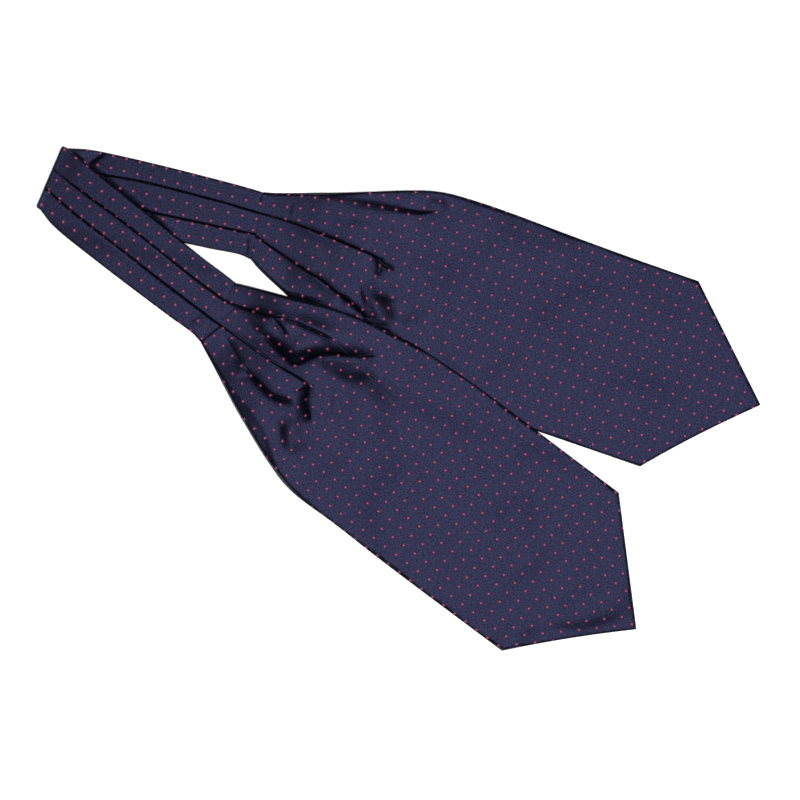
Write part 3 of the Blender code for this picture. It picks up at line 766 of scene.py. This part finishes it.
# Its side, where the layers show: inset from the edge, and height of a side SIDE_HIGH millimetres
# high, which stops SIDE_BELOW short of the strip
BAND_SIDE = (
    (0.5, 1.55), (0.05, 1.2), (0.45, 0.95), (0.0, 0.7), (0.4, 0.45), (0.15, 0.25), (1.2, 0.0),
)
SIDE_HIGH = 1.6
SIDE_BELOW = 0.6


def band_lines(place, sections, places):
    """The band's lower and upper edge on the table, and its pleats' distances from the lower."""
    rows = {
        name: follow([(row.place, getattr(row, name)) for row in sections], places)
        for name in BandSection._fields[1:]
    }
    lower = np.stack(on_table(place, rows["lower_along"], rows["lower"]), axis=-1)
    upper = np.stack(on_table(place, rows["upper_along"], rows["upper"]), axis=-1)
    return lower, upper, rows["low"] - rows["lower"], rows["high"] - rows["lower"]


def band_outline(place, sections):
    """The band's closed outline on the table."""
    lower, upper, _, _ = band_lines(place, sections, np.linspace(0, 1, 14))
    return [tuple(map(float, point)) for point in [*lower, *upper[::-1]]]


def band_section(width, low_pleat, high_pleat, even, top_low, settled=0.0):
    """One section of the band: distances from its lower edge, heights and strips, all round it."""
    fold = S_FOLD[::-1] if top_low else S_FOLD
    sign = -1 if top_low else 1
    levels = (2, 1, 0) if top_low else (0, 1, 2)
    pleats = (low_pleat, high_pleat)
    tops = [BAND_BASE + BAND_STEP * level for level in levels]
    tops[2] -= settled * (tops[2] - tops[1])
    gutters = (GUTTER, GUTTER * (1 - settled))
    starts = (1.8, pleats[0] + BAND_FOLD, pleats[1] + BAND_FOLD)
    stops = (pleats[0] - BAND_FOLD, pleats[1] - BAND_FOLD, width - 1.8)
    ring = [(inset, tops[0] - depth, 0) for inset, depth in BAND_RIM]
    for k in range(3):
        for share in np.linspace(0, 1, BAND_COLUMNS):
            spot = starts[k] + share * (stops[k] - starts[k])
            dip = 0.0
            for pleat, below, gutter in zip(pleats, (1, 2) if top_low else (0, 1), gutters):
                if k == below:
                    dip += gutter * math.exp(-abs(spot - pleat) / GUTTER_WIDTH)
            ring.append((spot, tops[k] - dip, k))
        if k < 2:
            for j, (under, up) in enumerate(fold):
                ramp = BAND_FOLD * (2 * j / (len(fold) - 1) - 1)
                below, above = min(tops[k], tops[k + 1]), max(tops[k], tops[k + 1])
                tuck = BAND_TUCK * (1 - even) * (1 - settled * k)
                spot = pleats[k] + ramp + sign * tuck * under
                dip = gutters[k] * (1 - float(smooth(up / TURNED_UNDER)))
                strip = k + (1 - over_fold(up) if top_low else over_fold(up))
                ring.append((spot, below + up * (above - below) - dip, strip))
    ring += [(width - inset, tops[2] - depth, 2) for inset, depth in BAND_RIM[::-1]]
    top_count = len(ring)
    for inset, height in BAND_SIDE:
        ring.append((width - inset, height * (tops[2] - SIDE_BELOW) / SIDE_HIGH, 2))
    for share in (0.85, 0.6, 0.4, 0.15):
        ring.append((share * width, 0.0, round(share * 2)))
    for inset, height in BAND_SIDE[::-1]:
        ring.append((inset, height * (tops[0] - SIDE_BELOW) / SIDE_HIGH, 0))
    out = np.array(ring)
    raised = out[:, 1] * BAND_THICK / max(tops)
    crest = np.arange(len(out)) < top_count
    to_even = np.where(crest, BAND_THICK - 0.02 * np.arange(len(out)) / len(out), raised)
    rim = np.minimum(out[:, 0], width - out[:, 0]) < 1.4
    to_even = np.where(crest & rim, raised, to_even)
    out[:, 1] += even * (to_even - out[:, 1])
    return out


def neckband(name, place, sections, top_low, rests, marks, lattices):
    """The pleated band from its tack line to the fold, then a quarter turn round the fold."""
    places = np.concatenate(
        [np.linspace(1.0, 0.94, 9), np.linspace(0.93, 0.1, 90), np.linspace(0.09, 0.0, 12)]
    )
    lower, upper, low_pleat, high_pleat = band_lines(place, sections, places)
    reach = (upper - lower) / np.linalg.norm(upper - lower, axis=1)[:, None]
    fold_line = reach[-1]
    outwards = np.array([-fold_line[1], fold_line[0]])
    rings, spots, sections_made = [], [], []
    for i, share in enumerate(places):
        width = float(np.linalg.norm(upper[i] - lower[i]))
        settled = 0.0 if top_low else 1 - float(smooth(share / 0.13))
        section = band_section(width, low_pleat[i], high_pleat[i], 0.0, top_low, settled)
        spot = lower[i] + section[:, :1] * reach[i]
        spot = spot - outwards * BAND_THICK * float(smooth(1 - share * 5))
        lift = rests(spot[:, 0], spot[:, 1])
        along, across = on_cloth(place, spot[:, 0], spot[:, 1])
        on_top = section[:, 1] > BAND_BASE - 0.9
        dent = np.maximum(creased(marks, along, across)[0], LOWEST_DENT - section[:, 1])
        lift = lift + np.where(on_top, dent, 0.0)
        rings.append(np.column_stack([spot, lift + section[:, 1]]))
        spots.append(np.column_stack([spot, section[:, 2]]))
        sections_made.append(section)
    for turn in np.linspace(0, 1, 11)[1:]:
        angle = math.radians(89.5 * turn)
        level, out_by = math.cos(angle) ** SQUARENESS, math.sin(angle) ** SQUARENESS
        section = band_section(width, low_pleat[-1], high_pleat[-1], turn, top_low, settled)
        spot = lower[-1] + section[:, :1] * reach[-1]
        radius = FOLD_LIFT - section[:, 1] if top_low else SEAM_GAP / 2 + section[:, 1]
        sign = -1 if top_low else 1
        out = spot - outwards * BAND_THICK + outwards * (radius * out_by)[:, None]
        rings.append(np.column_stack([out, FOLD_LIFT + sign * radius * level]))
        run = out + outwards * (radius * (1 - level))[:, None]
        spots.append(np.column_stack([run, section[:, 2]]))
        sections_made.append(section)
    count = len(sections_made[0])
    points = np.concatenate(rings) * MM
    faces = []
    for i in range(len(rings) - 1):
        for k in range(count):
            j = (k + 1) % count
            faces.append((i * count + k, i * count + j, (i + 1) * count + j, (i + 1) * count + k))
    for end in (0, -1):
        start = (len(rings) - 1) * count if end else 0
        outline = [Vector((a, b, 0.0)) for a, b in sections_made[end][:, :2]]
        for corners in tessellate_polygon([outline]):
            corners = [start + k for k in corners]
            faces.append(tuple(corners if end else corners[::-1]))
    spots = np.concatenate(spots)
    along, across = on_cloth(place, spots[:, 0], spots[:, 1])
    strip = spots[:, 2]
    lattice = lattice_on_strips(lattices, strip, strip - np.floor(strip), along, across)
    ends = [*range(count), *range(len(points) - count, len(points))]
    return solid_mesh(name, points, faces, lattice, SILK, ends)


# Where the band is tacked, and where it kinks beside the fold
FAR_BAND_MARKS = [
    Crease(-1.0, 0.8, 0.8, 0.1, 0.15, 0, [(-1.4, 28), (1.4, 13.5)]),
    Crease(-0.9, 0.8, 0.8, 0.1, 0.2, 0, [(-5.4, -7), (-1.8, -22)]),
    Crease(-1.8, 1.0, 3.6, 0.2, 0.2, 0, [(-128.5, 30.5), (-133, 25), (-140, 17)]),
    Crease(-1.6, 2.2, 2.2, 0.5, 0.3, 0, [(-133, 26), (-138.5, 20), (-145, 13)]),
    Roll(-0.9, 3.2, 0.2,
         [(-50, -24.5), (-82.7, -7.6), (-118.8, 9.2), (-141.4, 19.6), (-156, 24.5), (-172, 29)]),
]
FAR_BAND_LATTICES = (
    ((-0.665, 9.22, -1.283, 0.522, -2.045), (0.505, -0.59, 11.2, -0.031, 2.352)),
    ((0.131, 8.767, -0.419, -0.405, 0.131), (0.144, -0.192, 10.907, 0.077, 0.924)),
    ((-0.026, 8.862, 0.687, -0.251, 0.259), (-0.221, -0.11, 10.95, 0.058, 0.465)),
)
far_neckband = neckband(
    "far_pleated_neckband", FAR_BAND, FAR_BAND_SECTIONS, True, on_the_table, FAR_BAND_MARKS,
    FAR_BAND_LATTICES,
)
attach(far_neckband, "root")
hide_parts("far_neckband")


# The near half's lower sheet
# One layer of the same silk, its edges turned up to the near blade's seam. It lies on the far half
# where the halves overlap, and comes down to the table beside it.

DRAPE = 27.0  # how far the near half takes to come down from the far half to the table
FAR_BLADE_THICK = 2.3
BRIDGE = 4.4  # how far the far blade's fullness carries up the near blade's upper edge
BRIDGE_WIDTH = 26.0

FAR_BLADE_OUTLINE = blade_outline(FAR_BLADE, FAR_CUT)
FAR_BAND_OUTLINE = band_outline(FAR_BAND, FAR_BAND_SECTIONS)


def over_far_blade(x, y):
    """Where the near half lies over the far blade, 0 to 1."""
    return smooth(1 + (depth_inside(x, y, FAR_BLADE_OUTLINE) + 1.5) / DRAPE)


def carried(x, y):
    """How far the near blade's upper edge is carried up, 0 to 1. It has no fullness of its own."""
    along, across = on_cloth(NEAR_BLADE, x, y)
    edge = smooth(1 - (follow(NEAR_CUT.upper, along) - across) / BRIDGE_WIDTH)
    stretch = smooth((along + 30.0) / 105.0) * smooth((150.0 - along) / 50.0)
    return edge * stretch * over_far_blade(x, y)


def on_the_far_half(x, y):
    """Height of what the near half lies on: the far half, or the table."""
    over_band = smooth(1 + (depth_inside(x, y, FAR_BAND_OUTLINE) + 1.5) / DRAPE)
    over_blade = over_far_blade(x, y) * (FAR_BLADE_THICK + SEAM_GAP) + BRIDGE * carried(x, y)
    return np.maximum(over_band * (BAND_THICK + SEAM_GAP), over_blade)


NEAR_FLAT_LATTICE = (
    (-25.438, 12.185, -0.65, -1.138, 0.416, 0.312, 0.15, -0.077, 0.006, 0.001),
    (0.306, -2.328, 11.987, 0.835, -1.05, 0.402, -0.096, 0.193, -0.138, 0.071),
)
near_lower_sheet = lower_sheet(
    "near_lower_sheet", NEAR_BLADE, NEAR_CUT, on_the_far_half, NEAR_FLAT_LATTICE
)
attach(near_lower_sheet, "root")
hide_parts("near_blade_under")


# The near half's upper sheet
# The silk that shows on the near half, with its own two pleats. The middle strip sinks into a deep
# trough between them, which bends up towards the upper edge where the pleats let go.

NEAR_PLEATS = (
    [(0, -7), (20, -6.3), (40, -5.5), (60, -4.8), (70, -4), (80, -2.8), (88, -2.5), (95, -3.6),
     (105, -7.5), (120, -14), (137, -20), (170, -25), (230, -26), (334, -25.6)],
    [(0, 11), (10, 13.5), (20, 17.2), (30, 21), (36, 23), (42, 26), (50, 29), (60, 32),
     (70, 34.5), (78, 36), (86, 37.5), (105, 37), (120, 34), (137, 30.5), (170, 27),
     (230, 25.5), (334, 25)],
)
NEAR_FOLDS = Folds(
    False,
    [(0, 0.0), (10, 0.4), (20, 1.2), (40, 3.9), (62, 6.0), (82, 6.2), (98, 5.6), (112, 4.3),
     (130, 2.0), (150, 0.7), (185, 0.1), (200, 0.0), (420, 0.0)],
    [(0, 0.85), (16, 0.6), (40, 0.42), (62, 0.5), (80, 1.0), (87, 1.2), (91, 0.6), (94, 0),
     (420, 0)],
    [(0, 0.85), (16, 1.8), (30, 2.4), (36, 1.9), (42, 0.9), (48, 0.3), (53, 0), (420, 0)],
    [(0, 2.5), (22, 3.0), (40, 5.5), (50, 8.0), (60, 10.0), (70, 11.5), (80, 12.0), (88, 11.0),
     (96, 8.0), (106, 5.0), (120, 3.0), (420, 2.5)],
    [(0, 2.5), (420, 2.5)],
    0.6,
    [
        Crease(-6.4, 6.5, 0.8, 0.2, 0.22, 2.2,
               [(35, 7), (42, 6), (50, 4.4), (58, 3.2), (66, 2), (71, 2.2), (75, 6), (78, 11.5),
                (82, 18.5), (86, 23), (92, 27.5), (100, 32.5), (108, 38), (115, 44), (121, 50)]),
        Roll(1.6, 6.5, 0.3,
             [(14, 10.5), (34, 9), (48, 7.6), (58, 7), (65, 8), (70, 11), (75, 17), (80, 25),
              (86, 31)]),
        Crease(1.2, 2.6, 6.0, 1.5, 0.35, 0,
               [(66, -2), (74, 4), (80, 11), (86, 18), (94, 24), (105, 31.5), (115, 38.5),
                (126, 46)]),
        Crease(-1.5, 3.4, 4.0, 0.8, 0.35, 0,
               [(12, -10), (20, -14), (28, -17.5), (36, -21), (44, -24)]),
        Crease(-4.2, 1.4, 2.6, 0.2, 0.3, -2.0,
               [(39, -20.5), (46, -22), (54, -23.2), (62, -24.4), (70, -25.4), (77, -24.2),
                (84, -21.8), (92, -20.6)]),
        Roll(0.4, 1.5, 0.3, [(41, -31), (44, -27.5), (49, -24)]),
        Crease(-5.4, 1.2, 4.2, 0.2, 0.3, -2.2,
               [(85, -3.2), (91, -4), (93.5, -8), (95, -12.5), (98.5, -16.5), (103.5, -20.5),
                (109, -26)]),
        Roll(1.15, 8.0, 0.4, [(93, 10), (102, 17), (110, 20.5), (118, 25), (124, 31), (131, 39)]),
        Roll(1.6, 6.5, 0.4, [(88, -32), (92, -38.5), (97, -44.5), (103, -50.5), (112, -58)]),
        Crease(0.8, 4.0, 4.0, 2.0, 0.4, 0, [(88, -17), (95, -28), (100, -35), (108, -46)]),
        Crease(0.7, 4.0, 3.0, 2.0, 0.4, 0, [(78, -44), (92, -54), (100, -60), (110, -67)]),
        Roll(0.6, 1.6, 0.3, [(32, 24), (41, 22.3), (47, 20.8), (56, 18)]),
        Crease(-1.0, 1.0, 3.0, 0.2, 0.4, 0, [(34, 23), (41, 21.3), (48, 19.5), (57, 16)]),
        Roll(0.7, 1.5, 0.3, [(36, 24.2), (42, 26.3), (48, 28.3), (54, 29.9)]),
        Roll(2.0, 3.2, 0.35, [(46, 28), (54, 29.9), (60, 31.2), (70, 33.6), (80, 36), (88, 37.6)]),
        Crease(0.3, 3.0, 1.5, 1.0, 0.4, 0, [(16, -4), (40, -3), (60, -2), (75, -1), (90, 0.5)]),
        Roll(1.1, 9.0, 0.25, [(322, -72), (348, -50), (368, -30), (386, -12), (402, 4)]),
        Roll(0.5, 0.9, 0.1, [(8.2, -6), (5.6, -16), (3.0, -27)]),
        Roll(0.15, 1.2, 0.2, [(8, 13), (7.5, 5), (5.5, -4)]),
    ],
)
NEAR_LATTICES = (
    NEAR_FLAT_LATTICE,
    ((-24.121, 9.447, -2.043, -0.227, 0.111, -0.28),
     (-3.459, 2.667, 11.053, -0.593, 1.473, 1.599)),
    ((-23.909, 9.157, -0.747, 0.488, -0.979, 2.332),
     (-1.052, 0.697, 11.543, -1.544, 2.637, -3.805)),
    ((-24.634, 9.607, 1.914, -0.47, -0.341, 1.435),
     (2.821, -4.771, 11.133, -1.04, 5.202, -5.226)),
)
near_upper_sheet = upper_sheet(
    "near_upper_sheet", NEAR_BLADE, NEAR_CUT, NEAR_PLEATS, NEAR_FOLDS, on_the_far_half,
    carried, NEAR_LATTICES, 23,
)
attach(near_upper_sheet, "root")
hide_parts("near_blade_upper")


# The near half's neckband
# Pleated, pressed and tacked as the far half's is. It comes back over the far half's neckband from
# the fold, and crosses it on the way to its tack.

NEAR_BAND = Place(-140.4, 66.8, -39.2)
NEAR_BAND_SECTIONS = [
    BandSection(0.0, -160.8, -26.2, -175.2, 23.8, -10.0, 6.0),
    BandSection(0.1, -145.0, -28.9, -157.0, 24.4, -10.4, 6.3),
    BandSection(0.4, -96.0, -28.7, -103.0, 25.0, -9.8, 8.4),
    BandSection(0.8, -29.0, -26.3, -36.0, 25.6, -8.0, 9.2),
    BandSection(0.94, -6.0, -25.0, -14.0, 26.5, -7.0, 10.4),
    BandSection(1.0, 4.0, -26.3, -4.4, 26.7, -6.7, 10.9),
]
NEAR_BAND_MARKS = [
    Roll(0.3, 3.2, 0.2, [(-8, -8), (-11, -22)]),
    Roll(0.4, 2.0, 0.15, [(-3.2, 11), (-5.2, 26)]),
]
NEAR_BAND_LATTICES = (
    ((5.762, 9.103, 0.158, -0.017, -0.69), (1.473, -0.646, 10.482, -0.247, 1.128)),
    ((5.931, 9.301, 0.277, 0.034, 0.165), (-0.836, -0.903, 10.206, -0.26, -0.223)),
    ((5.674, 8.978, 0.63, 0.022, 1.18), (-2.248, -0.25, 10.335, 0.121, -0.28)),
)
near_neckband = neckband(
    "near_pleated_neckband", NEAR_BAND, NEAR_BAND_SECTIONS, False, on_the_far_half,
    NEAR_BAND_MARKS, NEAR_BAND_LATTICES,
)
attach(near_neckband, "root")
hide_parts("near_neckband")


# The table, the light and the camera
# A plain white table under one wide soft light, seen from straight above.

white = bpy.data.materials.new("white_table")
white.use_nodes = True
paint = white.node_tree.nodes["Principled BSDF"]
paint.inputs["Base Color"].default_value = (0.9, 0.9, 0.9, 1)
paint.inputs["Roughness"].default_value = 0.9
paint.inputs["Specular IOR Level"].default_value = 0.1
table_mesh = bpy.data.meshes.new("table")
table_mesh.from_pydata([(-3, -3, 0), (3, -3, 0), (3, 3, 0), (-3, 3, 0)], [], [(0, 1, 2, 3)])
table_mesh.materials.append(white)
table = bpy.data.objects.new("table", table_mesh)
bpy.context.scene.collection.objects.link(table)
table.location.z = -0.0002

softbox = bpy.data.lights.new("softbox", "AREA")
softbox.shape = "RECTANGLE"
softbox.size = 2.0
softbox.size_y = 2.0
softbox.energy = 99.0
softbox_stand = bpy.data.objects.new("softbox", softbox)
softbox_stand.location = (0.2, -0.2, 2.2)
bpy.context.scene.collection.objects.link(softbox_stand)

world = bpy.data.worlds.new("studio")
world.use_nodes = True
world.node_tree.nodes["Background"].inputs["Color"].default_value = (1.0, 1.0, 1.0, 1.0)
world.node_tree.nodes["Background"].inputs["Strength"].default_value = 0.05
bpy.context.scene.world = world
bpy.context.scene.view_settings.view_transform = "Standard"
bpy.context.scene.view_settings.look = "None"

camera_data = bpy.data.cameras.new("camera")
camera_data.lens = 100.0
camera_data.sensor_width = 36.0
camera_data.clip_start = 0.05
camera_data.clip_end = 20.0
camera = bpy.data.objects.new("camera", camera_data)
camera.location = (0.00115, -0.00114, 1.730)
bpy.context.scene.collection.objects.link(camera)
bpy.context.scene.camera = camera
